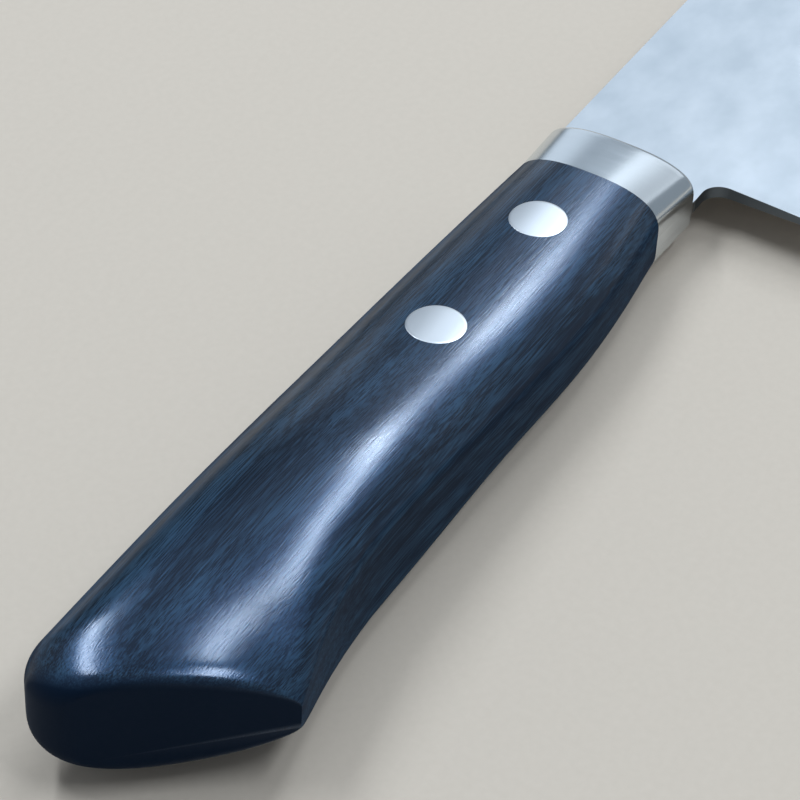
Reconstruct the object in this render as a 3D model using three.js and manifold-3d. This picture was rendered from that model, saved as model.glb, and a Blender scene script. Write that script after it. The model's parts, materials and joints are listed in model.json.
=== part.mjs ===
// Santoku kitchen knife, lying on its left side as it rests on a table.
// A clad steel blank (blade, neck and half tang in one piece) carries two welded bolster halves.
// Two crowned scales and a packing plate close round the tang, and two cutler's rivets hold them.
// Millimetres. Each piece is drawn in the knife's own frame: x from the bolster's back towards the tip,
// y towards the spine, z towards the right face, with the blank's middle plane at z = 0.
import * as THREE from "three";
import { ConvexHull } from "three/addons/math/ConvexHull.js";
import { mergeVertices } from "three/addons/utils/BufferGeometryUtils.js";
import Module from "manifold-3d";

const wasm = await Module();
wasm.setup();

// Blank: blade, neck and tang
const BLADE_LENGTH = 165; // heel to tip
const BLADE_HEIGHT = 46; // spine to edge at the heel
const BLADE_THICKNESS = 2;
const BLADE_SPINE = 11; // spine above the knife's axis
const EDGE_THICKNESS = 0.3;
const EDGE_FLAT = 60; // straight run of the edge from the heel
const EDGE_RISE = 7; // sweep of the edge up to the tip
const GRIND_HEIGHT = 32; // convex ground face above the edge
const NOSE_LENGTH = 62; // rounded drop of the spine
const NOSE_RAKE = 12; // lean of the nose above the tip
const NECK_LENGTH = 4.9; // bolster to the heel
const NECK_BELLY = 12.1; // underside of the neck, below the axis
const NECK_FILLET = 3;
const TANG_ROOT = 15; // tang height at the bolster
const TANG_END = 11; // tang height at its round end
const TANG_TAIL = 24; // tang behind the rear rivet

// Bolster
const BOLSTER_LENGTH = 10.7;
const BOLSTER_NOSE = 6.5; // half thickness at its front
const BOLSTER_ROUND = 1.2; // rounding of its front edge

// Handle profile, seen from the side: places along it, and heights above or below the axis
const HANDLE_LENGTH = 122.7; // bolster to the corner where spine and butt lines would meet
const FRONT_SPINE = 10.5;
const CREST_SPINE = 12.2;
const CREST_AT = 69; // behind the bolster
const FRONT_BELLY = 11.6;
const SWELL_BELLY = 13.9;
const SWELL_AT = 26; // behind the bolster
const WAIST_BELLY = 12.8;
const WAIST_AHEAD = 23.5; // ahead of the beak
const BEAK_BELLY = 17.2;
const BUTT_SLANT = 23.2; // how far the beak lies ahead of the butt's upper corner
const BUTT_CORNER = 5.8; // radius where the spine turns into the butt

// Handle section: half thickness at the crown, and the upright wall left along each edge
const FRONT_CROWN = 7.5;
const GRIP_CROWN = 8.4;
const GRIP_AT = 40; // behind the bolster
const PALM_CROWN = 10.4;
const PALM_AHEAD = 48; // ahead of the butt's upper corner
const TAIL_CROWN = 9.4;
const TAIL_AHEAD = 15;
const BUTT_CROWN = 5.9;
const ROLL_OFF = 20.9; // run over which the crown falls away towards the butt
const EDGE_WALL = 0.3; // wall above the inner face, at the bolster and at the beak's sanded corner
const WAIST_WALL = 5; // belly wall behind the waist, from the middle plane
const WALL_RUN = 35; // run over which that wall rises
const WALL_PAST = 4; // how far behind the waist it has risen
const BUTT_WALL = 5.4;
const BEAK_WALL = 4.8; // before the beak's corner is sanded down
const BEAK_REACH = 21.5; // distance from the beak at which the sanding starts
const BEAK_POWER = 2; // 1 is a straight cone, more starts softly
const CROWN_POWER = 2.6; // 2 is an ellipse, more is squarer

// Rivets
const RIVET_HEAD = 8; // diameter
const RIVET_SLEEVE = 5.2; // outer diameter of the hollow half
const RIVET_POST = 3; // diameter of the solid half's shank
const RIVET_SEAT = 4.6; // underside of a head, from the middle plane
const RIVET_SETBACK = 13; // first rivet behind the bolster
const RIVET_PITCH = 27;
const RIVET_HEIGHT = 0.4; // above the knife's axis

// Glue lines and fits
const GAP = 0.3;

// Densities, grams per cubic millimetre
const STEEL = 0.0078;
const PAKKAWOOD = 0.0013;

// Drawing steps
const RINGS = 28; // sections along a scale
const RING_CROWDING = 1.6; // 1 is even, more brings sections closer together at the butt
const RING_STEPS = 16; // facets over a crown
const BOLSTER_STEPS = 4;
const ROUND_STEPS = 24; // facets round a rivet
const CURVE_STEPS = 24; // facets along an outline's curve
const GRIND_STEPS = 6; // facets over a ground face
const WELD = 1e-4; // points closer than this are one point

// Places worked out from the sizes
const INNER = BLADE_THICKNESS / 2 + GAP; // inner face of a scale or a bolster half
const LAND = INNER + EDGE_WALL;
const HEEL_X = BOLSTER_LENGTH + NECK_LENGTH;
const TIP_X = HEEL_X + BLADE_LENGTH;
const EDGE_Y = BLADE_SPINE - BLADE_HEIGHT;
const TIP_Y = EDGE_Y + EDGE_RISE;
const BEAK_AT = HANDLE_LENGTH - BUTT_SLANT;
const WAIST_AT = BEAK_AT - WAIST_AHEAD;
const RIVET_XS = [-RIVET_SETBACK, -RIVET_SETBACK - RIVET_PITCH];
const TANG_X = RIVET_XS[1] - TANG_TAIL;
const SLEEVE_HOLE = RIVET_SLEEVE / 2 + GAP;
const HEAD_HOLE = RIVET_HEAD / 2 + GAP;
const CLEAR = HANDLE_LENGTH; // a height above every piece

const { lerp, smoothstep } = THREE.MathUtils;

// Solid of a closed geometry, for cutting and joining
function solidOf(geometry) {
  const bare = geometry.clone();
  bare.deleteAttribute("normal");
  bare.deleteAttribute("uv");
  const welded = mergeVertices(bare, WELD);
  return new wasm.Manifold(
    new wasm.Mesh({
      numProp: 3,
      vertProperties: welded.attributes.position.array,
      triVerts: new Uint32Array(welded.index.array),
    }),
  );
}

function geometryOf(solid) {
  const { vertProperties, triVerts } = solid.getMesh();
  const geometry = new THREE.BufferGeometry();
  geometry.setAttribute("position", new THREE.BufferAttribute(vertProperties, 3));
  return geometry.setIndex(new THREE.BufferAttribute(triVerts, 1));
}

// Closed skin through a row of rings. Each ring is a loop of Vector3 with the same number of points,
// anticlockwise when seen from beyond the last ring, and the two ends are fans about their middles.
function loft(rings) {
  const count = rings[0].length;
  const points = rings.flat();
  const triangles = [];
  for (let r = 0; r + 1 < rings.length; r += 1) {
    for (let i = 0; i < count; i += 1) {
      const a = r * count + i;
      const b = r * count + ((i + 1) % count);
      triangles.push(a, b, b + count, a, b + count, a + count);
    }
  }
  const close = (ring, first, isLast) => {
    const sum = ring.reduce((total, p) => total.add(p), new THREE.Vector3());
    const hub = points.push(sum.divideScalar(count)) - 1;
    for (let i = 0; i < count; i += 1) {
      const side = [first + i, first + ((i + 1) % count)];
      triangles.push(hub, ...(isLast ? side : side.reverse()));
    }
  };
  close(rings[0], 0, false);
  close(rings.at(-1), (rings.length - 1) * count, true);
  return new THREE.BufferGeometry().setFromPoints(points).setIndex(triangles);
}

// Plate of an outline, with the middle plane through it
function plate(shape, thickness) {
  const geometry = new THREE.ExtrudeGeometry(shape, {
    depth: thickness,
    bevelEnabled: false,
    curveSegments: CURVE_STEPS,
  });
  return solidOf(geometry.translate(0, 0, -thickness / 2));
}

// Round bar along z on the rivets' line, from one height to another
function bar(x, radius, low, high) {
  const geometry = new THREE.CylinderGeometry(radius, radius, high - low, ROUND_STEPS);
  return solidOf(geometry.rotateX(Math.PI / 2).translate(x, RIVET_HEIGHT, (low + high) / 2));
}

// Handle profile: the spine runs back and round the corner to the butt, the belly runs back to the beak
const buttTop = new THREE.Vector2(-HANDLE_LENGTH, CREST_SPINE);
const beak = new THREE.Vector2(-BEAK_AT, -BEAK_BELLY);
const buttRun = beak.clone().sub(buttTop).normalize();
const cornerTurn = Math.acos(-buttRun.x); // from running back along the spine to running down the butt
const cornerX = BUTT_CORNER * Math.tan(cornerTurn / 2) - HANDLE_LENGTH;

const spineFront = new THREE.Vector2(0, FRONT_SPINE);
const spineLift = new THREE.Vector2(-CREST_AT / 2, CREST_SPINE);
const spineCrest = new THREE.Vector2(-CREST_AT, CREST_SPINE);
const spineCorner = new THREE.Vector2(cornerX, CREST_SPINE);
const cornerArc = [Math.PI / 2, Math.PI / 2 + cornerTurn];
const spinePath = new THREE.CurvePath();
spinePath.add(new THREE.QuadraticBezierCurve(spineFront, spineLift, spineCrest));
spinePath.add(new THREE.LineCurve(spineCrest, spineCorner));
spinePath.add(
  new THREE.EllipseCurve(cornerX, CREST_SPINE - BUTT_CORNER, BUTT_CORNER, BUTT_CORNER, ...cornerArc),
);

const bellyPath = new THREE.SplineCurve([
  new THREE.Vector2(0, -FRONT_BELLY),
  new THREE.Vector2(-SWELL_AT, -SWELL_BELLY),
  new THREE.Vector2(-WAIST_AT, -WAIST_BELLY),
  beak,
]);

// Half thickness of the handle at its crown, along its length
const crownPoints = new THREE.SplineCurve([
  new THREE.Vector2(0, FRONT_CROWN),
  new THREE.Vector2(GRIP_AT, GRIP_CROWN),
  new THREE.Vector2(HANDLE_LENGTH - PALM_AHEAD, PALM_CROWN),
  new THREE.Vector2(HANDLE_LENGTH - TAIL_AHEAD, TAIL_CROWN),
]).getPoints(CURVE_STEPS);

function crownAt(back) {
  const next = crownPoints.findIndex((p) => p.x > back);
  if (next < 0) return TAIL_CROWN;
  const [from, to] = crownPoints.slice(next - 1, next + 1);
  return lerp(from.y, to.y, (back - from.x) / (to.x - from.x));
}

// Share of the crown that is left at a distance ahead of the butt: it falls on the crown's own curve
function rollOff(distance) {
  const t = Math.min(distance / ROLL_OFF, 1);
  return (1 - (1 - t) ** CROWN_POWER) ** (1 / CROWN_POWER);
}

// How much the sanded corner of the beak takes off at a place in the handle's profile
function beakSanding(x, y) {
  const near = Math.max(0, 1 - Math.hypot(x - beak.x, y - beak.y) / BEAK_REACH);
  return (BEAK_WALL - LAND) * near ** BEAK_POWER;
}

// Section of the right scale at a share u of the handle's length, from the bolster (0) to the butt (1)
function handleSection(u) {
  const spine = spinePath.getPointAt(u);
  const belly = bellyPath.getPointAt(u);
  const back = -(spine.x + belly.x) / 2;
  const left = rollOff((1 - u) * HANDLE_LENGTH);
  const wallEnd = WAIST_AT + WALL_PAST;
  const risen = smoothstep(back, wallEnd - WALL_RUN, wallEnd);
  return {
    spine,
    belly,
    crown: lerp(BUTT_CROWN, crownAt(back), left),
    spineWall: lerp(BUTT_WALL, LAND, left),
    bellyWall: lerp(BEAK_WALL, lerp(LAND, WAIST_WALL, risen), left),
  };
}

// Loop of a half section: up the spine wall, over the crown and down the belly wall to the inner face
function halfRing({ spine, belly, crown, spineWall, bellyWall }) {
  const ring = [new THREE.Vector3(spine.x, spine.y, INNER)];
  for (let i = 0; i <= RING_STEPS; i += 1) {
    const angle = (Math.PI * i) / RING_STEPS;
    const across = Math.sign(Math.cos(angle)) * Math.abs(Math.cos(angle)) ** (2 / CROWN_POWER);
    const rise = Math.sin(angle) ** (2 / CROWN_POWER);
    const share = (1 - across) / 2; // 0 at the spine, 1 at the belly
    const wall = lerp(spineWall, bellyWall, share);
    const x = lerp(spine.x, belly.x, share);
    const y = lerp(spine.y, belly.y, share);
    ring.push(new THREE.Vector3(x, y, lerp(wall, crown, rise) - beakSanding(x, y)));
  }
  ring.push(new THREE.Vector3(belly.x, belly.y, INNER));
  return ring;
}

// Shares of the handle's length at which it is drawn, from the butt to the bolster
const ringShares = Array.from({ length: RINGS + 1 }, (_, r) => 1 - (r / RINGS) ** RING_CROWDING);

// Right scale before its rivet holes are bored
const scaleBlank = solidOf(loft(ringShares.map((u) => halfRing(handleSection(u)))));

function boredScale() {
  return RIVET_XS.reduce(
    (wood, x) =>
      wood
        .subtract(bar(x, SLEEVE_HOLE, 0, CLEAR))
        .subtract(bar(x, HEAD_HOLE, RIVET_SEAT - GAP, CLEAR)),
    scaleBlank,
  );
}

// Head of a rivet, ground flush with the scale
function rivetHead(x) {
  return bar(x, RIVET_HEAD / 2, RIVET_SEAT, CLEAR).intersect(scaleBlank);
}

// Solid half, put in from the right: its post reaches down the sleeve
function rivetPost(x) {
  return rivetHead(x).add(bar(x, RIVET_POST / 2, -RIVET_SEAT, RIVET_SEAT + GAP));
}

// Hollow half, drawn for the right side and turned over to the left
function rivetSleeve(x) {
  const tube = bar(x, RIVET_SLEEVE / 2, GAP - RIVET_SEAT, RIVET_SEAT + GAP);
  const bore = bar(x, RIVET_POST / 2 + GAP, -RIVET_SEAT, RIVET_SEAT + GAP);
  return rivetHead(x).add(tube).subtract(bore);
}

function handleOutline() {
  const spine = ringShares.map((u) => spinePath.getPointAt(u));
  const belly = ringShares.map((u) => bellyPath.getPointAt(u));
  return new THREE.Shape([...spine.reverse(), ...belly]);
}

// Tang with its round end, or the slot that takes it
function tangOutline(grow) {
  const root = TANG_ROOT / 2 + grow;
  const end = TANG_END / 2 + grow;
  const endX = TANG_X + TANG_END / 2;
  const shape = new THREE.Shape();
  shape.moveTo(BOLSTER_LENGTH, RIVET_HEIGHT + root);
  shape.lineTo(0, RIVET_HEIGHT + root);
  shape.lineTo(endX, RIVET_HEIGHT + end);
  shape.absarc(endX, RIVET_HEIGHT, end, Math.PI / 2, Math.PI * 1.5);
  shape.lineTo(0, RIVET_HEIGHT - root);
  shape.lineTo(BOLSTER_LENGTH, RIVET_HEIGHT - root);
  return shape;
}

// Packing plate: as thick as the tang, it fills the handle's profile round it
function packingPlate() {
  const slot = plate(tangOutline(GAP), BLADE_THICKNESS + GAP);
  return plate(handleOutline(), BLADE_THICKNESS).subtract(slot);
}

function edgeY(x) {
  const sweep = Math.max(0, (x - HEEL_X - EDGE_FLAT) / (BLADE_LENGTH - EDGE_FLAT));
  return EDGE_Y + EDGE_RISE * sweep * sweep;
}

// Blade and neck, from the bolster's back to the tip
function bladeOutline() {
  const sweepX = HEEL_X + EDGE_FLAT;
  const filletX = HEEL_X - NECK_FILLET;
  const shape = new THREE.Shape();
  shape.moveTo(GAP, -FRONT_BELLY);
  shape.lineTo(BOLSTER_LENGTH, -NECK_BELLY);
  shape.lineTo(filletX, -NECK_BELLY);
  shape.absarc(filletX, -NECK_BELLY - NECK_FILLET, NECK_FILLET, Math.PI / 2, 0, true);
  shape.lineTo(HEEL_X, EDGE_Y);
  shape.lineTo(sweepX, EDGE_Y);
  shape.quadraticCurveTo((sweepX + TIP_X) / 2, EDGE_Y, TIP_X, TIP_Y);
  shape.quadraticCurveTo(TIP_X - NOSE_RAKE, BLADE_SPINE, TIP_X - NOSE_LENGTH, BLADE_SPINE);
  shape.lineTo(BOLSTER_LENGTH, BLADE_SPINE);
  shape.lineTo(GAP, FRONT_SPINE);
  return shape;
}

// Half thickness of the ground blade at heights above the edge, run on straight past the edge and the flat
function grindProfile() {
  const profile = Array.from({ length: GRIND_STEPS + 1 }, (_, i) => {
    const t = i / GRIND_STEPS;
    const thickness = lerp(EDGE_THICKNESS, BLADE_THICKNESS, t * (2 - t));
    return new THREE.Vector2(t * GRIND_HEIGHT, thickness / 2);
  });
  const runOn = (from, to) => to.add(to.clone().sub(from).setLength(BLADE_THICKNESS));
  runOn(profile[1], profile[0]);
  runOn(profile.at(-2), profile.at(-1));
  return profile;
}

// Wedge that grinds one face, following the edge past both of its ends: side is 1 right, -1 left
function grindCutter(side) {
  const profile = grindProfile();
  const rings = [];
  for (let i = 0; i <= CURVE_STEPS; i += 1) {
    const x = lerp(HEEL_X - BLADE_THICKNESS, TIP_X + BLADE_THICKNESS, i / CURVE_STEPS);
    const face = profile.map((p) => new THREE.Vector3(x, edgeY(x) + p.x, side * p.y));
    const ring = [
      ...face,
      new THREE.Vector3(x, face.at(-1).y, side * CLEAR),
      new THREE.Vector3(x, face[0].y, side * CLEAR),
    ];
    rings.push(side > 0 ? ring : ring.reverse());
  }
  return solidOf(loft(rings));
}

function blank() {
  const steel = plate(bladeOutline(), BLADE_THICKNESS)
    .add(plate(tangOutline(0), BLADE_THICKNESS))
    .subtract(grindCutter(1))
    .subtract(grindCutter(-1));
  return RIVET_XS.reduce((metal, x) => metal.subtract(bar(x, SLEEVE_HOLE, -CLEAR, CLEAR)), steel);
}

// Right bolster half: flush with the scale behind, narrowing to a rounded front on the blade
function bolsterHalf() {
  const section = (along, inset) => {
    const x = lerp(GAP, BOLSTER_LENGTH, along);
    return halfRing({
      spine: new THREE.Vector2(x, lerp(FRONT_SPINE, BLADE_SPINE, along) - inset),
      belly: new THREE.Vector2(x, lerp(-FRONT_BELLY, -NECK_BELLY, along) + inset),
      crown: lerp(FRONT_CROWN, BOLSTER_NOSE, along) - inset,
      spineWall: LAND,
      bellyWall: LAND,
    });
  };
  const roundStart = 1 - BOLSTER_ROUND / BOLSTER_LENGTH;
  const rings = [];
  for (let i = 0; i < BOLSTER_STEPS; i += 1) {
    rings.push(section((roundStart * i) / BOLSTER_STEPS, 0));
  }
  for (let i = 0; i <= BOLSTER_STEPS; i += 1) {
    const angle = (Math.PI / 2) * (i / BOLSTER_STEPS);
    rings.push(section(lerp(roundStart, 1, Math.sin(angle)), BOLSTER_ROUND * (1 - Math.cos(angle))));
  }
  return solidOf(loft(rings));
}

// Finishes
const satinSteel = new THREE.MeshStandardMaterial({ color: 0xc9d3da, roughness: 0.35, metalness: 1 });
const polishedSteel = new THREE.MeshStandardMaterial({ color: 0xd4d8da, roughness: 0.2, metalness: 1 });
const rivetSteel = new THREE.MeshStandardMaterial({ color: 0xdadada, roughness: 0.3, metalness: 1 });
const dyedWood = new THREE.MeshStandardMaterial({ color: 0x1b2430, roughness: 0.3, metalness: 0 });

const knife = new THREE.Group();

function addPiece(name, solid, material, density) {
  const mesh = new THREE.Mesh(geometryOf(solid), material);
  mesh.name = name;
  mesh.userData.density = density;
  knife.add(mesh);
  return mesh;
}

// A piece drawn for the right side, turned over to the left
function addLeftPiece(...piece) {
  addPiece(...piece).scale.z = -1;
}

addPiece("blade", blank(), satinSteel, STEEL);
addPiece("bolster_right", bolsterHalf(), polishedSteel, STEEL);
addLeftPiece("bolster_left", bolsterHalf(), polishedSteel, STEEL);
addPiece("scale_right", boredScale(), dyedWood, PAKKAWOOD);
addLeftPiece("scale_left", boredScale(), dyedWood, PAKKAWOOD);
addPiece("packing_plate", packingPlate(), dyedWood, PAKKAWOOD);
addPiece("front_rivet_post", rivetPost(RIVET_XS[0]), rivetSteel, STEEL);
addLeftPiece("front_rivet_sleeve", rivetSleeve(RIVET_XS[0]), rivetSteel, STEEL);
addPiece("rear_rivet_post", rivetPost(RIVET_XS[1]), rivetSteel, STEEL);
addLeftPiece("rear_rivet_sleeve", rivetSleeve(RIVET_XS[1]), rivetSteel, STEEL);

// Mass and centre of a piece, from the tetrahedra between its faces and the origin
function weigh(mesh) {
  const { index, attributes } = mesh.geometry;
  const corner = (i) => new THREE.Vector3().fromBufferAttribute(attributes.position, index.getX(i));
  const centre = new THREE.Vector3();
  let volume = 0;
  for (let i = 0; i < index.count; i += 3) {
    const [a, b, c] = [corner(i), corner(i + 1), corner(i + 2)];
    const share = b.clone().cross(c).dot(a) / 6;
    centre.addScaledVector(a.add(b).add(c), share / 4);
    volume += share;
  }
  centre.divideScalar(volume).multiply(mesh.scale);
  return { mass: volume * mesh.userData.density, centre };
}

function centreOfMass() {
  const weights = knife.children.map(weigh);
  const total = weights.reduce((sum, w) => sum + w.mass, 0);
  return weights.reduce((sum, w) => sum.addScaledVector(w.centre, w.mass / total), new THREE.Vector3());
}

// Outward normal of the face that the knife rests on: of the hull's faces on the left side,
// the one that its mass is straight above.
function restingNormal() {
  const centre = centreOfMass();
  const isUnder = (face) => {
    let edge = face.edge;
    do {
      const side = edge.head().point.clone().sub(edge.tail().point);
      const outward = side.cross(face.normal);
      if (outward.dot(centre.clone().sub(edge.tail().point)) > 0) return false;
      edge = edge.next;
    } while (edge !== face.edge);
    return true;
  };
  const faces = new ConvexHull().setFromObject(knife).faces.filter(isUnder);
  return faces.reduce((best, face) => (face.normal.z < best.normal.z ? face : best)).normal;
}

// Lay the knife down, with the origin under the middle of its box
const santoku = new THREE.Group();
santoku.add(knife);
knife.quaternion.setFromUnitVectors(restingNormal(), new THREE.Vector3(0, 0, -1));
const box = new THREE.Box3().setFromObject(santoku, true);
const middle = box.getCenter(new THREE.Vector3());
knife.position.set(-middle.x, -middle.y, -box.min.z);

export default santoku;
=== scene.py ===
"""Santoku knife: the finish of its blade, bolster, handle and rivets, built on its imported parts."""
import json
import math

import bmesh
import bpy
import numpy as np
from mathutils import Matrix, Vector


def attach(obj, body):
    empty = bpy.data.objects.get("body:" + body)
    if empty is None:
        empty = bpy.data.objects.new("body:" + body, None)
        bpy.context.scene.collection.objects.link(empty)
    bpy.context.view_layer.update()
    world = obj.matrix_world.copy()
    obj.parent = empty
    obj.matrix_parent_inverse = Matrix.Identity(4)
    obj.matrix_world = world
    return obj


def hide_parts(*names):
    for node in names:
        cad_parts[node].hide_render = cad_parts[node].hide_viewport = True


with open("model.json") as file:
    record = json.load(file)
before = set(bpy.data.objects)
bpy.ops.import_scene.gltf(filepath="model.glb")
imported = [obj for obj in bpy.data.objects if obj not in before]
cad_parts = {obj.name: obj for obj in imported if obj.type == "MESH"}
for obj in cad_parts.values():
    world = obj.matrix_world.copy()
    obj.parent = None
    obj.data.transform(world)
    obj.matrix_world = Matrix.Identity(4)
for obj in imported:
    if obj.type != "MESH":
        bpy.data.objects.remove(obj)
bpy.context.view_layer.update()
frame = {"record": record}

# Sizes of the knife in millimetres, in its own frame: x from the bolster's back towards the tip,
# y towards the spine, z towards the right face, with the blade's middle plane at z = 0.
# Names that end in SPINE or BELLY are heights above or below the x axis, those that end in CROWN or WALL
# are heights above that plane, and those that end in AT are distances behind the bolster
BLADE_LENGTH = 165.0
BLADE_HEIGHT = 46.0
BLADE_THICKNESS = 2.0
BLADE_SPINE = 11.0
EDGE_THICKNESS = 0.3
EDGE_FLAT = 60.0  # straight stretch of the edge, from the heel
EDGE_RISE = 7.0  # how far the edge sweeps up by the tip
GRIND_HEIGHT = 32.0  # ground faces, from the edge up
GRIND_RUN = 6.0  # over which the grind begins, from the bolster
NOSE_LENGTH = 62.0  # over which the spine drops to the tip
NOSE_RAKE = 12.0  # handle of the nose's curve, behind the tip
NECK_LENGTH = 4.9  # from the bolster to the heel
NECK_BELLY = 12.1
NECK_FILLET = 3.0
TANG_ROOT = 15.0  # height of the tang at the bolster
TANG_END = 11.0  # height of its round end
TANG_TAIL = 24.0  # tang behind the rear rivet

BOLSTER_LENGTH = 10.7
BOLSTER_NOSE = 6.5  # crown of the bolster at its front
BOLSTER_ROUND = 1.2

HANDLE_LENGTH = 122.7
FRONT_SPINE = 10.5
CREST_SPINE = 12.2
CREST_AT = 69.0
FRONT_BELLY = 11.6
SWELL_BELLY = 13.9
SWELL_AT = 26.0
WAIST_BELLY = 12.8
WAIST_AHEAD = 23.5  # of the beak
BEAK_BELLY = 17.2
BUTT_SLANT = 23.2  # from the beak back to the butt's upper corner
BUTT_CORNER = 5.8

FRONT_CROWN = 7.5
GRIP_CROWN = 8.4
GRIP_AT = 40.0
PALM_CROWN = 10.4
PALM_AHEAD = 48.0  # of the butt
TAIL_CROWN = 9.4
TAIL_AHEAD = 15.0  # of the butt
BUTT_CROWN = 5.9
ROLL_OFF = 20.9  # over which the crown comes down to the butt
LAND = 1.6  # wall of a scale where nothing else is said
WAIST_WALL = 5.0  # wall of the belly behind the waist
WALL_RUN = 35.0  # over which that wall rises
WALL_PAST = 4.0  # where it is full, behind the waist
BUTT_WALL = 5.4
BEAK_WALL = 4.8
BEAK_REACH = 21.5  # how far round the beak the crown is sanded down
BEAK_POWER = 2.0
CROWN_POWER = 2.6  # 2 makes a crown an ellipse, more makes it fuller

RIVET_HEAD = 8.0
RIVET_SHANK = 5.2
RIVET_SEAT = 4.6  # underside of a head above the blade's middle plane
RIVET_SETBACK = 13.0  # front rivet behind the bolster
RIVET_PITCH = 27.0
RIVET_HEIGHT = 0.4  # rivets above the x axis
RIVET_EASE = 0.05

# Places worked out from the sizes
INNER = BLADE_THICKNESS / 2
BEAK_AT = HANDLE_LENGTH - BUTT_SLANT
WAIST_AT = BEAK_AT - WAIST_AHEAD
FRONT_RIVET_X = -RIVET_SETBACK
REAR_RIVET_X = FRONT_RIVET_X - RIVET_PITCH
TANG_X = REAR_RIVET_X - TANG_TAIL
HEEL_X = BOLSTER_LENGTH + NECK_LENGTH
TIP_X = HEEL_X + BLADE_LENGTH
EDGE_Y = BLADE_SPINE - BLADE_HEIGHT
SWEEP_X = HEEL_X + EDGE_FLAT

# Fineness of the meshes
STATIONS = 200  # sections along a scale
CROWDING = 1.6  # 1 is even, more brings sections closer together at the butt
RING_STEPS = 88  # faces over a crown
BOLSTER_STATIONS = 14
BLADE_STATIONS = 200
BLADE_ROWS = 48
ROUND_STEPS = 96  # sides of a rivet
RIVET_RINGS = 10  # rings of faces on a rivet's head
CURVE_STEPS = 160  # points along a curve before it is divided by length
BEND_STEPS = 40  # points along a bend of the blade's outline
HAIRLINE = 0.02  # width of a joint between two pieces
WELD = 0.0005  # points closer than this are one point
SPARE = 1.0  # what a rough shape has beyond its finished one
END_FACE = 0.5  # a round bar's face is one of its ends where its normal has more than this along z
ROUND_ANGLE = 40  # degrees up to which an edge of a round piece is shaded smooth
FLAT_ANGLE = 30  # the same on a flat piece
RIM_ANGLE = 60  # degrees from which a rivet's edge is eased

# Sizes in millimetres of the cells of the patterns, along x, y and z. Real fibres and polishing lines
# are a few hundredths of a millimetre across: here they are drawn coarser, so that they show
FIBRES = (5.5, 0.17, 0.17)
FIGURE = (50.0, 3.4, 2.0)
CLOUDS = (9.0, 6.0, 6.0)
BLADE_LINES = (0.18, 7.0, 7.0)
BOLSTER_LINES = (0.16, 5.0, 5.0)
RIVET_LINES = (4.0, 0.14, 4.0)
CARD_TEETH = 0.9  # per millimetre

# Camera: place, aim and upright in the knife's frame
CAMERA_AT = Vector((-297.8, -137.2, 257.1))
CAMERA_AIM = Vector((-46.8, 1.3, 0.0))
CAMERA_UP = Vector((0.5574, 0.3697, 0.7434))
CAMERA_LENS = 135.3
SENSOR = 36.0

# Lamps in metres in the part's frame: name, start and end in x and y, width, brightness and colour.
# The rows make the long highlights on the handle, the dim cards are there for the steel to mirror
LAMP_HEIGHT = 1.2
LAMPS = (
    ("row_one", (1.35, 0.50), (1.13, 0.25), 0.10, 45.0, "#e2f1ff"),
    ("row_one_middle", (1.13, 0.25), (0.39, -0.22), 0.12, 22.5, "#e2f1ff"),
    ("row_one_end", (0.24, -0.43), (-0.27, -0.75), 0.12, 31.0, "#e2f1ff"),
    ("row_two", (0.62, 1.05), (-0.40, 0.37), 0.12, 26.0, "#e2f1ff"),
    ("blade_card", (1.46, 0.62), (1.94, 0.62), 0.5, 0.68, "#e3f0ff"),
    ("front_card", (2.22, -1.00), (2.22, 0.72), 0.5, 0.83, "#eef3fa"),
)

# The studio round the lamps, in linear colours: its even light, a dark side and a soft glow beside that.
# These two have directions in the part's frame, and start and are full at cosines of the angle from them
STUDIO_LIGHT = (0.285, 0.33, 0.375, 1)
STUDIO_DARK = (0.085, 0.125, 0.168, 1)
STUDIO_GLOW = (0.82, 0.93, 1.06, 1)
DARK_SIDE = Vector((0.629, 0.698, 0.342))
DARK_START = 0.88
DARK_FULL = 0.97
GLOW_SIDE = Vector((0.833, 0.509, 0.216))
GLOW_START = 0.971
GLOW_FULL = 0.9945
FLOOR_SIZE = 8.0

MM = 0.001
MIXED_COLOUR = 2  # place of the colour among the outputs of a Mix node
RIGHT_FLAT_POINT = Vector((100.0, 4.0, INNER))  # where the mount blade_flat_right lies in the knife's frame


def knife_frame():
    """Matrix from the knife's own frame in millimetres to the part's frame in metres, from two mounts."""
    mounts = {mount["name"]: mount for mount in frame["record"]["mounts"]}
    right = Vector(mounts["blade_flat_right"]["axis"]).normalized()
    spine = Vector(mounts["blade_spine"]["axis"])
    spine = (spine - right * spine.dot(right)).normalized()
    turn = Matrix((spine.cross(right), spine, right)).transposed()
    origin = Vector(mounts["blade_flat_right"]["pos_m"]) - turn @ RIGHT_FLAT_POINT * MM
    return Matrix.Translation(origin) @ turn.to_4x4() @ Matrix.Scale(MM, 4)


KNIFE = knife_frame()
TURN = KNIFE.to_3x3().normalized()
TO_BUTT = TURN @ Vector((-1, 0, 0))
TO_SPINE = TURN @ Vector((0, 1, 0))
TO_RIGHT = TURN @ Vector((0, 0, 1))


# Curves and sections, as rows of points in the knife's frame

def mix(a, b, share):
    """Value a share of the way from a to b."""
    return a + (b - a) * share


def ease(t):
    """Smooth rise from 0 to 1."""
    return t * t * (3 - 2 * t)


def bend(start, handle, end, steps):
    """Curve from start to end with one handle."""
    t = np.linspace(0, 1, steps)[:, None]
    start, handle, end = (np.array(point, float) for point in (start, handle, end))
    return start * (1 - t) ** 2 + 2 * handle * t * (1 - t) + end * t**2


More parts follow.
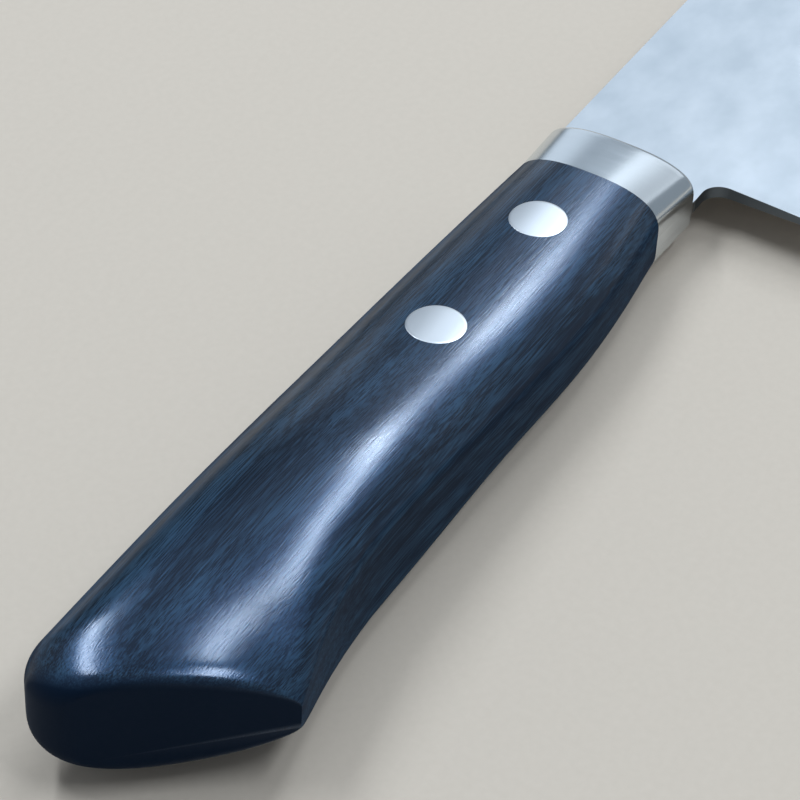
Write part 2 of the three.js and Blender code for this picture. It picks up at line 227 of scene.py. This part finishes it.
def through(knots):
    """Smooth curve through knots."""
    knots = np.asarray(knots, float)
    padded = np.concatenate([knots[:1], knots, knots[-1:]])
    t = np.linspace(0, 1, CURVE_STEPS)[:, None]
    runs = []
    for before, start, end, after in zip(padded, padded[1:], padded[2:], padded[3:]):
        leave = (end - before) / 2
        reach = (after - start) / 2
        cubic = (2 * start - 2 * end + leave + reach) * t**3
        square = (3 * end - 3 * start - 2 * leave - reach) * t**2
        runs.append(cubic + square + leave * t + start)
    return np.concatenate(runs)


def by_length(points, shares):
    """Points at shares of a curve's length."""
    steps = np.linalg.norm(np.diff(points, axis=0), axis=1)
    places = np.concatenate([[0], np.cumsum(steps)]) / steps.sum()
    return np.stack([np.interp(shares, places, column) for column in points.T], axis=1)


def spine_curve():
    """Spine from the bolster back to the crest, along to the corner and round it to the butt."""
    crest = (-CREST_AT, CREST_SPINE)
    rise = bend((0, FRONT_SPINE), (-CREST_AT / 2, CREST_SPINE), crest, CURVE_STEPS)
    turn = math.acos(-BUTT_SLANT / math.hypot(BUTT_SLANT, CREST_SPINE + BEAK_BELLY))
    angle = math.pi / 2 + turn * np.linspace(0, 1, CURVE_STEPS)
    corner = np.column_stack([np.cos(angle), np.sin(angle)]) * BUTT_CORNER
    corner += (BUTT_CORNER * math.tan(turn / 2) - HANDLE_LENGTH, CREST_SPINE - BUTT_CORNER)
    return np.concatenate([rise, corner])


BEAK = np.array([-BEAK_AT, -BEAK_BELLY])
SPINE_CURVE = spine_curve()
BELLY_CURVE = through([(0, -FRONT_BELLY), (-SWELL_AT, -SWELL_BELLY), (-WAIST_AT, -WAIST_BELLY), BEAK])
CROWN_CURVE = through([
    (0, FRONT_CROWN),
    (GRIP_AT, GRIP_CROWN),
    (HANDLE_LENGTH - PALM_AHEAD, PALM_CROWN),
    (HANDLE_LENGTH - TAIL_AHEAD, TAIL_CROWN),
])
HANDLE_SHARES = 1 - (np.arange(STATIONS + 1) / STATIONS) ** CROWDING  # from the butt to the bolster


def half_section(spine, belly, crown, spine_wall, belly_wall):
    """Points over the right half of a section, from its inner corner at the spine to the one at the belly."""
    angle = np.pi * np.arange(RING_STEPS + 1) / RING_STEPS
    across = np.sign(np.cos(angle)) * np.abs(np.cos(angle)) ** (2 / CROWN_POWER)
    rise = np.sin(angle).clip(0) ** (2 / CROWN_POWER)
    share = (1 - across) / 2
    wall = mix(spine_wall, belly_wall, share)
    flat = mix(np.asarray(spine)[None], np.asarray(belly)[None], share[:, None])
    near = (1 - np.linalg.norm(flat - BEAK, axis=1) / BEAK_REACH).clip(0)
    sanded = (BEAK_WALL - LAND) * near**BEAK_POWER
    over = np.column_stack([flat, mix(wall, crown, rise) - sanded])
    return np.concatenate([[(*spine, INNER)], over, [(*belly, INNER)]])


def handle_sections():
    """Sections of the right scale, from the butt to the bolster."""
    spines = by_length(SPINE_CURVE, HANDLE_SHARES)
    bellies = by_length(BELLY_CURVE, HANDLE_SHARES)
    back = -(spines[:, 0] + bellies[:, 0]) / 2
    t = ((1 - HANDLE_SHARES) * HANDLE_LENGTH / ROLL_OFF).clip(0, 1)
    left = (1 - (1 - t) ** CROWN_POWER) ** (1 / CROWN_POWER)
    risen = ease(((back - WAIST_AT - WALL_PAST) / WALL_RUN + 1).clip(0, 1))
    crowns = mix(BUTT_CROWN, np.interp(back, *CROWN_CURVE.T), left)
    spine_walls = mix(BUTT_WALL, LAND, left)
    belly_walls = mix(BEAK_WALL, mix(LAND, WAIST_WALL, risen), left)
    return [half_section(*row) for row in zip(spines, bellies, crowns, spine_walls, belly_walls)]


def bolster_sections():
    """Sections of the right half of the bolster, from the handle to its rounded front."""
    round_start = 1 - BOLSTER_ROUND / BOLSTER_LENGTH
    angles = np.linspace(0, math.pi / 2, BOLSTER_STATIONS)
    straight = np.linspace(0, round_start, BOLSTER_STATIONS)[:-1]
    alongs = np.concatenate([straight, mix(round_start, 1, np.sin(angles))])
    insets = np.concatenate([np.zeros(BOLSTER_STATIONS - 1), BOLSTER_ROUND * (1 - np.cos(angles))])
    sections = []
    for along, inset in zip(alongs, insets):
        x = mix(HAIRLINE, BOLSTER_LENGTH, along)
        spine = (x, mix(FRONT_SPINE, BLADE_SPINE, along) - inset)
        belly = (x, mix(-FRONT_BELLY, -NECK_BELLY, along) + inset)
        crown = mix(FRONT_CROWN, BOLSTER_NOSE, along) - inset
        sections.append(half_section(spine, belly, crown, LAND, LAND))
    return sections


def blade_loops():
    """Loops round a blank that is larger than the blade: flat below the spine, then ground to the edge."""
    loops = []
    y = np.linspace(BLADE_SPINE + SPARE, EDGE_Y - SPARE, BLADE_ROWS)
    for x in np.linspace(TANG_X - SPARE, TIP_X + SPARE, BLADE_STATIONS):
        sweep = ((x - SWEEP_X) / (TIP_X - SWEEP_X)).clip(0)
        edge = EDGE_Y + EDGE_RISE * sweep**2
        height = ((y - edge) / GRIND_HEIGHT).clip(0, 1)
        ground = mix(EDGE_THICKNESS, BLADE_THICKNESS, height * (2 - height)) / 2
        begun = ((x - BOLSTER_LENGTH) / GRIND_RUN).clip(0, 1)
        half = mix(INNER, ground, ease(begun))
        right = np.column_stack([np.full_like(y, x), y, half])
        left = right[::-1] * (1, 1, -1)
        loops.append(np.concatenate([right, left]))
    return loops


def tang_outline(grow):
    """Outline of the tang behind the bolster, from its lower root round its end to its upper root."""
    root = TANG_ROOT / 2 + grow
    end = TANG_END / 2 + grow
    end_x = TANG_X + TANG_END / 2
    angle = np.linspace(1.5 * math.pi, 0.5 * math.pi, ROUND_STEPS // 2)
    round_end = np.column_stack([end_x + end * np.cos(angle), RIVET_HEIGHT + end * np.sin(angle)])
    low = [(0, RIVET_HEIGHT - root)]
    high = [(0, RIVET_HEIGHT + root)]
    return np.concatenate([low, round_end, high])


def blade_outline():
    """Outline of the blade: neck, heel, edge, nose, spine and tang."""
    tip = (TIP_X, EDGE_Y + EDGE_RISE)
    sweep = (SWEEP_X, EDGE_Y)
    nose = (TIP_X - NOSE_LENGTH, BLADE_SPINE)
    angle = np.linspace(math.pi / 2, 0, ROUND_STEPS // 4)
    fillet = np.column_stack([np.cos(angle), np.sin(angle)]) * NECK_FILLET
    fillet += (HEEL_X - NECK_FILLET, -NECK_BELLY - NECK_FILLET)
    return np.concatenate([
        [(HAIRLINE, -FRONT_BELLY), (BOLSTER_LENGTH, -NECK_BELLY)],
        fillet,
        [(HEEL_X, EDGE_Y)],
        bend(sweep, ((SWEEP_X + TIP_X) / 2, EDGE_Y), tip, BEND_STEPS),
        bend(tip, (TIP_X - NOSE_RAKE, BLADE_SPINE), nose, BEND_STEPS)[1:],
        [(BOLSTER_LENGTH, BLADE_SPINE), (HAIRLINE, FRONT_SPINE)],
        tang_outline(0)[::-1],
    ])


def packing_outline():
    """Outline of the packing layer: the handle's profile, with the tang's slot open at the bolster."""
    spine = by_length(SPINE_CURVE, HANDLE_SHARES[::-1])
    belly = by_length(BELLY_CURVE, HANDLE_SHARES)
    return np.concatenate([spine, belly, tang_outline(HAIRLINE)])


# Modelling

def deselect_all():
    """Leaves nothing selected, so that the next operator meets only what is added or chosen."""
    bpy.ops.object.select_all(action="DESELECT")


def start_piece(name):
    """Names the primitive just added, and gives it back in edit mode."""
    piece = bpy.context.object
    piece.name = name
    piece.data.name = name
    bpy.ops.object.mode_set(mode="EDIT")
    return piece


def wrap_loops(name, loops, side=1):
    """Grid wrapped round a row of closed loops, with its two ends filled: side -1 turns it to the left."""
    loops = [np.concatenate([loop, loop[:1]]) for loop in loops]
    deselect_all()
    bpy.ops.mesh.primitive_grid_add(x_subdivisions=len(loops[0]) - 1, y_subdivisions=len(loops) - 1)
    piece = start_piece(name)
    mesh = bmesh.from_edit_mesh(piece.data)
    for vertex, point in zip(mesh.verts, np.concatenate(loops)):
        vertex.co = (point[0], point[1], point[2] * side)
    bmesh.update_edit_mesh(piece.data)
    bpy.ops.mesh.select_all(action="SELECT")
    bpy.ops.mesh.remove_doubles(threshold=WELD)
    bpy.ops.mesh.fill_holes(sides=0)
    bpy.ops.mesh.select_all(action="SELECT")
    bpy.ops.mesh.normals_make_consistent(inside=False)
    bpy.ops.object.mode_set(mode="OBJECT")
    return piece


def extrude_outline(name, outline, low, high):
    """Circle set on an outline and extruded from one height to another."""
    deselect_all()
    bpy.ops.mesh.primitive_circle_add(vertices=len(outline), fill_type="NGON")
    piece = start_piece(name)
    mesh = bmesh.from_edit_mesh(piece.data)
    for vertex, point in zip(mesh.verts, outline):
        vertex.co = (point[0], point[1], low)
    bmesh.update_edit_mesh(piece.data)
    bpy.ops.mesh.extrude_region_move(TRANSFORM_OT_translate={"value": (0, 0, high - low)})
    bpy.ops.mesh.select_all(action="SELECT")
    bpy.ops.mesh.normals_make_consistent(inside=False)
    bpy.ops.object.mode_set(mode="OBJECT")
    return piece


def round_bar(x, radius, low, high):
    """Round bar on the rivets' line, from one height to another."""
    deselect_all()
    bpy.ops.mesh.primitive_cylinder_add(
        vertices=ROUND_STEPS,
        radius=radius,
        depth=high - low,
        location=(x, RIVET_HEIGHT, (low + high) / 2),
    )
    bpy.ops.object.transform_apply(location=True)
    return bpy.context.object


def apply_modifier(piece, kind, **settings):
    """Adds a modifier to a piece and applies it."""
    bpy.context.view_layer.objects.active = piece
    modifier = piece.modifiers.new(kind.lower(), kind)
    for name, value in settings.items():
        setattr(modifier, name, value)
    bpy.ops.object.modifier_apply(modifier=modifier.name)


def cut(piece, tool, operation="DIFFERENCE"):
    """Cuts a piece by a tool, and removes the tool."""
    apply_modifier(piece, "BOOLEAN", operation=operation, solver="EXACT", object=tool)
    bpy.data.objects.remove(tool)


def select_end(piece, side):
    """Selects the faces at the upper end of a round bar, or with side -1 at its lower end."""
    bpy.ops.mesh.select_mode(type="FACE")
    bpy.ops.mesh.select_all(action="DESELECT")
    for face in bmesh.from_edit_mesh(piece.data).faces:
        face.select = face.normal.z * side > END_FACE


def rivet(name, x, side, scale):
    """Rivet head ground flush with its scale, on a shank that reaches the blade's middle plane."""
    top = max(GRIP_CROWN, PALM_CROWN) + SPARE
    round_bar(x, RIVET_HEAD / 2, *sorted((side * RIVET_SEAT, side * top)))
    piece = start_piece(name)
    select_end(piece, side)
    for _ in range(RIVET_RINGS):
        bpy.ops.mesh.inset(thickness=RIVET_HEAD / 2 / (RIVET_RINGS + 0.5))
    bpy.ops.object.mode_set(mode="OBJECT")
    group = piece.vertex_groups.new(name="crown")
    group.add([v.index for v in piece.data.vertices if v.co.z * side > top - HAIRLINE], 1.0, "REPLACE")
    apply_modifier(
        piece,
        "SHRINKWRAP",
        target=scale,
        wrap_method="PROJECT",
        use_project_z=True,
        use_negative_direction=True,
        use_positive_direction=True,
        vertex_group="crown",
    )
    piece.vertex_groups.clear()
    bpy.ops.object.mode_set(mode="EDIT")
    select_end(piece, -side)
    bpy.ops.mesh.inset(thickness=(RIVET_HEAD - RIVET_SHANK) / 2)
    bpy.ops.mesh.extrude_region_move(TRANSFORM_OT_translate={"value": (0, 0, -side * RIVET_SEAT)})
    bpy.ops.object.mode_set(mode="OBJECT")
    rim = math.radians(RIM_ANGLE)
    apply_modifier(piece, "BEVEL", width=RIVET_EASE, segments=2, limit_method="ANGLE", angle_limit=rim)
    return piece


def finish_piece(piece, smooth_angle, material, node):
    """Smooths a piece, moves it to the part's frame, gives it its finish, and hides the imported node that it
    stands for.
    """
    deselect_all()
    piece.select_set(True)
    bpy.context.view_layer.objects.active = piece
    bpy.ops.object.shade_smooth_by_angle(angle=math.radians(smooth_angle))
    piece.data.transform(KNIFE)
    piece.data.update()
    piece.data.materials.clear()
    piece.data.materials.append(material)
    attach(piece, "root")
    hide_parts(node)


# Materials

def linear(hex_colour):
    """Linear colour of an sRGB hex value."""
    channels = [int(hex_colour[i : i + 2], 16) / 255 for i in (1, 3, 5)]
    return (*[c / 12.92 if c <= 0.04045 else ((c + 0.055) / 1.055) ** 2.4 for c in channels], 1)


def fill_sockets(owner, node, **inputs):
    """Sets a node's inputs, by name or identifier, to values or links them to other nodes' outputs."""
    for name, value in inputs.items():
        socket = next(s for s in node.inputs if name in (s.identifier, s.name.replace(" ", "_")))
        if isinstance(value, bpy.types.NodeSocket):
            owner.node_tree.links.new(value, socket)
        else:
            socket.default_value = value


def add_node(owner, kind, settings=None, **inputs):
    """Adds a node to a material or world: settings are its own properties, inputs fill its sockets."""
    node = owner.node_tree.nodes.new(kind)
    for name, value in (settings or {}).items():
        setattr(node, name, value)
    fill_sockets(owner, node, **inputs)
    return node


def start_material(name, **constants):
    """Material with its shader's constant values set, and that shader."""
    material = bpy.data.materials.new(name)
    material.use_nodes = True
    shader = material.node_tree.nodes["Principled BSDF"]
    fill_sockets(material, shader, **constants)
    return material, shader


def cell_coords(material, cell):
    """Object coordinates turned to the knife's own frame, in cells of a size in millimetres."""
    coords = add_node(material, "ShaderNodeTexCoord")
    turned = add_node(
        material,
        "ShaderNodeMapping",
        {"vector_type": "TEXTURE"},
        Vector=coords.outputs["Object"],
        Location=KNIFE.to_translation(),
        Rotation=TURN.to_euler(),
        Scale=[size * MM for size in cell],
    )
    return turned.outputs["Vector"]


def dyed_laminated_wood():
    """Resin-filled birch veneers dyed blue-black and buffed: fine fibres lie along the handle, the crown cuts
    the veneers in long loops, the dyed fibres glow blue round a highlight and the resin gives its core.
    The sanded edges and the end grain are matt, and the end grain is painted darker: partly the dye it takes,
    partly painted shade on the butt end."""
    material, shader = start_material(
        "dyed laminated wood",
        IOR=1.5,
        Specular_Tint=linear("#5aa0f2"),
        Coat_IOR=1.5,
        Coat_Roughness=0.165,
    )
    fibres = add_node(
        material,
        "ShaderNodeTexNoise",
        Vector=cell_coords(material, FIBRES),
        Scale=1.0,
        Detail=2.0,
        Roughness=0.5,
    )
    figure = add_node(
        material,
        "ShaderNodeTexNoise",
        Vector=cell_coords(material, FIGURE),
        Scale=1.0,
        Detail=3.0,
        Roughness=0.55,
        Distortion=0.4,
    )
    grain = add_node(
        material,
        "ShaderNodeMix",
        Factor=0.43,
        A=fibres.outputs["Fac"],
        B=figure.outputs["Fac"],
    )
    tone = add_node(material, "ShaderNodeValToRGB", Fac=grain.outputs["Result"])
    tone.color_ramp.interpolation = "EASE"
    tone.color_ramp.elements[0].position = 0.41
    tone.color_ramp.elements[0].color = linear("#04090e")
    tone.color_ramp.elements[1].position = 0.69
    tone.color_ramp.elements[1].color = linear("#243b4d")

    # How far a place is end grain, and how far it is a sanded edge, from the way that it faces
    normal = add_node(material, "ShaderNodeTexCoord").outputs["Normal"]
    dot_product = {"operation": "DOT_PRODUCT"}
    maximum = {"operation": "MAXIMUM"}
    endwise = add_node(material, "ShaderNodeVectorMath", dot_product, Vector=normal, Vector_001=TO_BUTT)
    end_grain = add_node(
        material,
        "ShaderNodeMapRange",
        Value=endwise.outputs["Value"],
        From_Min=0.45,
        From_Max=0.78,
    )
    edgewise = add_node(material, "ShaderNodeVectorMath", dot_product, Vector=normal, Vector_001=TO_SPINE)
    back = add_node(
        material,
        "ShaderNodeMapRange",
        Value=edgewise.outputs["Value"],
        From_Min=0.38,
        From_Max=0.74,
    )
    belly = add_node(
        material,
        "ShaderNodeMapRange",
        Value=edgewise.outputs["Value"],
        From_Min=-0.66,
        From_Max=-0.94,
    )
    edges = add_node(
        material,
        "ShaderNodeMath",
        maximum,
        Value=back.outputs["Result"],
        Value_001=belly.outputs["Result"],
    )
    matt = add_node(
        material,
        "ShaderNodeMath",
        maximum,
        Value=end_grain.outputs["Result"],
        Value_001=edges.outputs["Value"],
    )

    # Painted shade: the end grain is darkened beyond its dye, standing for the shade on the butt end
    dye_and_painted_shade = add_node(
        material,
        "ShaderNodeMix",
        {"data_type": "RGBA"},
        Factor_Float=end_grain.outputs["Result"],
        A_Color=tone.outputs["Color"],
        B_Color=linear("#05080b"),
    )
    buffed = add_node(material, "ShaderNodeMapRange", Value=fibres.outputs["Fac"], To_Min=0.2, To_Max=0.36)
    gloss = add_node(
        material,
        "ShaderNodeMix",
        Factor=matt.outputs["Value"],
        A=buffed.outputs["Result"],
        B=0.8,
    )
    film = add_node(material, "ShaderNodeMapRange", Value=matt.outputs["Value"], To_Min=0.75, To_Max=0.0)
    bump = add_node(
        material,
        "ShaderNodeBump",
        Strength=0.25,
        Distance=0.05 * MM,
        Height=fibres.outputs["Fac"],
    )
    fill_sockets(
        material,
        shader,
        Base_Color=dye_and_painted_shade.outputs[MIXED_COLOUR],
        Roughness=gloss.outputs["Result"],
        Coat_Weight=film.outputs["Result"],
        Normal=bump.outputs["Normal"],
        Coat_Normal=bump.outputs["Normal"],
    )
    return material


def satin_blade_steel():
    """Stainless cladding ground and bead-polished to an even satin: pale, with soft clouds and fine lines.
    Its spine, heel and edge are left coarser and painted darker, partly for their coarser steel and partly as
    painted shade, except between the halves of the bolster."""
    material, shader = start_material("satin blade steel", Metallic=1.0)
    clouds = add_node(
        material,
        "ShaderNodeTexNoise",
        Vector=cell_coords(material, CLOUDS),
        Scale=1.0,
        Detail=3.0,
        Roughness=0.5,
    )
    tone = add_node(material, "ShaderNodeValToRGB", Fac=clouds.outputs["Fac"])
    tone.color_ramp.elements[0].position = 0.3
    tone.color_ramp.elements[0].color = linear("#cfd6db")
    tone.color_ramp.elements[1].position = 0.7
    tone.color_ramp.elements[1].color = linear("#e2e7eb")

    # How far a place is polished, and so spared the painted shade of the edges: on the blade's faces, and
    # behind the bolster's front
    normal = add_node(material, "ShaderNodeTexCoord").outputs["Normal"]
    facing = add_node(
        material,
        "ShaderNodeVectorMath",
        {"operation": "DOT_PRODUCT"},
        Vector=normal,
        Vector_001=TO_RIGHT,
    )
    flat = add_node(material, "ShaderNodeMath", {"operation": "ABSOLUTE"}, Value=facing.outputs["Value"])
    faces = add_node(
        material,
        "ShaderNodeMapRange",
        Value=flat.outputs["Value"],
        From_Min=0.975,
        From_Max=0.996,
    )
    place = add_node(material, "ShaderNodeSeparateXYZ", Vector=cell_coords(material, (1.0, 1.0, 1.0)))
    welded = add_node(
        material,
        "ShaderNodeMapRange",
        Value=place.outputs["X"],
        From_Min=BOLSTER_LENGTH,
        From_Max=BOLSTER_LENGTH - BOLSTER_ROUND,
    )
    polished = add_node(
        material,
        "ShaderNodeMath",
        {"operation": "MAXIMUM"},
        Value=faces.outputs["Result"],
        Value_001=welded.outputs["Result"],
    )

    # Painted shade: the spine, heel and edge get a darker grey than the faces, partly for their coarse
    # grinding and partly standing for the shade they lie in
    steel = add_node(
        material,
        "ShaderNodeMix",
        {"data_type": "RGBA"},
        Factor_Float=polished.outputs["Value"],
        A_Color=linear("#5f666c"),
        B_Color=tone.outputs["Color"],
    )
    lines = add_node(
        material,
        "ShaderNodeTexNoise",
        Vector=cell_coords(material, BLADE_LINES),
        Scale=1.0,
        Detail=2.0,
    )
    satin = add_node(material, "ShaderNodeMapRange", Value=lines.outputs["Fac"], To_Min=0.05, To_Max=0.07)
    gloss = add_node(
        material,
        "ShaderNodeMix",
        Factor=polished.outputs["Value"],
        A=0.42,
        B=satin.outputs["Result"],
    )
    bump = add_node(
        material,
        "ShaderNodeBump",
        Strength=0.04,
        Distance=0.03 * MM,
        Height=lines.outputs["Fac"],
    )
    fill_sockets(
        material,
        shader,
        Base_Color=steel.outputs[MIXED_COLOUR],
        Roughness=gloss.outputs["Result"],
        Normal=bump.outputs["Normal"],
    )
    return material


def lined_steel(name, colour, cell, roughness, strength, depth):
    """Steel of one colour with fine polishing lines, which vary its gloss and its surface."""
    material, shader = start_material(name, Metallic=1.0, Base_Color=linear(colour))
    lines = add_node(
        material,
        "ShaderNodeTexNoise",
        Vector=cell_coords(material, cell),
        Scale=1.0,
        Detail=2.0,
    )
    low, high = roughness
    gloss = add_node(material, "ShaderNodeMapRange", Value=lines.outputs["Fac"], To_Min=low, To_Max=high)
    bump = add_node(
        material,
        "ShaderNodeBump",
        Strength=strength,
        Distance=depth * MM,
        Height=lines.outputs["Fac"],
    )
    fill_sockets(material, shader, Roughness=gloss.outputs["Result"], Normal=bump.outputs["Normal"])
    return material


def polished_bolster_steel():
    """Stainless collar polished on a belt: near-mirror, with faint lines round the handle."""
    return lined_steel("polished bolster steel", "#d4dade", BOLSTER_LINES, (0.14, 0.24), 0.03, 0.03)


def satin_rivet_steel():
    """Stainless rivet heads sanded flush with the wood: bright, with fine sanding lines along the handle."""
    return lined_steel("satin rivet steel", "#cacccf", RIVET_LINES, (0.31, 0.37), 0.02, 0.02)


def pale_card():
    """Uncoated pale card: matt, with a tooth that only just varies its tone."""
    material, shader = start_material("pale card", Roughness=0.9, Specular_IOR_Level=0.2)
    tooth = add_node(
        material,
        "ShaderNodeTexNoise",
        Vector=add_node(material, "ShaderNodeTexCoord").outputs["Object"],
        Scale=CARD_TEETH / MM,
        Detail=2.0,
    )
    tone = add_node(material, "ShaderNodeValToRGB", Fac=tooth.outputs["Fac"])
    tone.color_ramp.elements[0].color = linear("#bbad9e")
    tone.color_ramp.elements[1].color = linear("#c1b3a4")
    fill_sockets(material, shader, Base_Color=tone.outputs["Color"])
    return material


# Pieces

def build_handle(wood, steel):
    """Two scales, the rivets through them and the packing layer between them."""
    sections = handle_sections()
    for side, hand, rivet_half in ((1, "right", "post"), (-1, "left", "sleeve")):
        scale = wrap_loops(f"handle_scale_{hand}", sections, side)
        rivets = {}
        for place, x in (("front", FRONT_RIVET_X), ("rear", REAR_RIVET_X)):
            rivets[f"{place}_rivet_{rivet_half}"] = rivet(f"{place}_rivet_{hand}", x, side, scale)
        for x in (FRONT_RIVET_X, REAR_RIVET_X):
            for radius, depth in ((RIVET_SHANK / 2, 0), (RIVET_HEAD / 2, RIVET_SEAT)):
                span = sorted((side * depth, side * HANDLE_LENGTH))
                cut(scale, round_bar(x, radius + HAIRLINE, *span))
        finish_piece(scale, ROUND_ANGLE, wood, f"scale_{hand}")
        for node, head in rivets.items():
            finish_piece(head, ROUND_ANGLE, steel, node)
    layer = extrude_outline("handle_packing_layer", packing_outline(), -INNER, INNER)
    finish_piece(layer, FLAT_ANGLE, wood, "packing_plate")


def build_bolster(steel):
    """Two halves welded to the blade and polished."""
    sections = bolster_sections()
    for side, hand in ((1, "right"), (-1, "left")):
        half = wrap_loops(f"bolster_half_{hand}", sections, side)
        finish_piece(half, ROUND_ANGLE, steel, f"bolster_{hand}")


def build_blade(steel):
    """Ground blank cut to its outline, with the rivets' holes through its tang."""
    blade = wrap_loops("santoku_blade", blade_loops())
    outline = extrude_outline("outline", blade_outline(), -BLADE_THICKNESS, BLADE_THICKNESS)
    cut(blade, outline, "INTERSECT")
    for x in (FRONT_RIVET_X, REAR_RIVET_X):
        cut(blade, round_bar(x, RIVET_SHANK / 2 + HAIRLINE, -BLADE_THICKNESS, BLADE_THICKNESS))
    finish_piece(blade, FLAT_ANGLE, steel, "blade")


# Studio

def build_floor():
    """Sheet of pale card under the knife."""
    deselect_all()
    bpy.ops.mesh.primitive_plane_add(size=FLOOR_SIZE)
    floor = bpy.context.object
    floor.name = "floor"
    floor.data.materials.append(pale_card())


def softbox(name, start, end, width, brightness, colour):
    """Long lamp from one place to another, turned to face the knife. Brightness 1 looks white in a mirror."""
    start = Vector((*start, LAMP_HEIGHT))
    end = Vector((*end, LAMP_HEIGHT))
    middle = (start + end) / 2
    along = (end - start).normalized()
    up = (middle - along * middle.dot(along)).normalized()
    lamp = bpy.data.lights.new(name, "AREA")
    lamp.shape = "RECTANGLE"
    lamp.size = (end - start).length
    lamp.size_y = width
    lamp.energy = brightness * math.pi * lamp.size * lamp.size_y
    lamp.color = linear(colour)[:3]
    holder = bpy.data.objects.new(name, lamp)
    bpy.context.scene.collection.objects.link(holder)
    turn = Matrix((along, up.cross(along), up)).transposed()
    holder.matrix_world = Matrix.Translation(middle) @ turn.to_4x4()


def build_surround():
    """Even light all round, falling off to a dark side with a soft glow beside it."""
    world = bpy.data.worlds.new("studio")
    bpy.context.scene.world = world
    world.use_nodes = True
    way = add_node(world, "ShaderNodeTexCoord").outputs["Generated"]
    dot_product = {"operation": "DOT_PRODUCT"}
    darkward = add_node(world, "ShaderNodeVectorMath", dot_product, Vector=way, Vector_001=DARK_SIDE)
    shade = add_node(world, "ShaderNodeValToRGB", Fac=darkward.outputs["Value"])
    shade.color_ramp.elements[0].position = DARK_START
    shade.color_ramp.elements[0].color = STUDIO_LIGHT
    shade.color_ramp.elements[1].position = DARK_FULL
    shade.color_ramp.elements[1].color = STUDIO_DARK
    glowward = add_node(world, "ShaderNodeVectorMath", dot_product, Vector=way, Vector_001=GLOW_SIDE)
    glow = add_node(
        world,
        "ShaderNodeMapRange",
        {"interpolation_type": "SMOOTHSTEP"},
        Value=glowward.outputs["Value"],
        From_Min=GLOW_START,
        From_Max=GLOW_FULL,
    )
    surround = add_node(
        world,
        "ShaderNodeMix",
        {"data_type": "RGBA"},
        Factor_Float=glow.outputs["Result"],
        A_Color=shade.outputs["Color"],
        B_Color=STUDIO_GLOW,
    )
    fill_sockets(world, world.node_tree.nodes["Background"], Color=surround.outputs[MIXED_COLOUR])


def build_camera():
    """Camera above and behind the butt, looking along the handle towards the blade."""
    at = KNIFE @ CAMERA_AT
    aim = KNIFE @ CAMERA_AIM
    back = (at - aim).normalized()
    right = (TURN @ CAMERA_UP).cross(back).normalized()
    up = back.cross(right)
    lens = bpy.data.cameras.new("camera")
    lens.lens = CAMERA_LENS
    lens.sensor_width = SENSOR
    camera = bpy.data.objects.new("camera", lens)
    bpy.context.scene.collection.objects.link(camera)
    turn = Matrix((right, up, back)).transposed()
    camera.matrix_world = Matrix.Translation(at) @ turn.to_4x4()
    bpy.context.scene.camera = camera


build_camera()
build_floor()
for lamp_values in LAMPS:
    softbox(*lamp_values)
build_surround()
build_handle(dyed_laminated_wood(), satin_rivet_steel())
build_bolster(polished_bolster_steel())
build_blade(satin_blade_steel())
bpy.context.scene.view_settings.view_transform = "Standard"
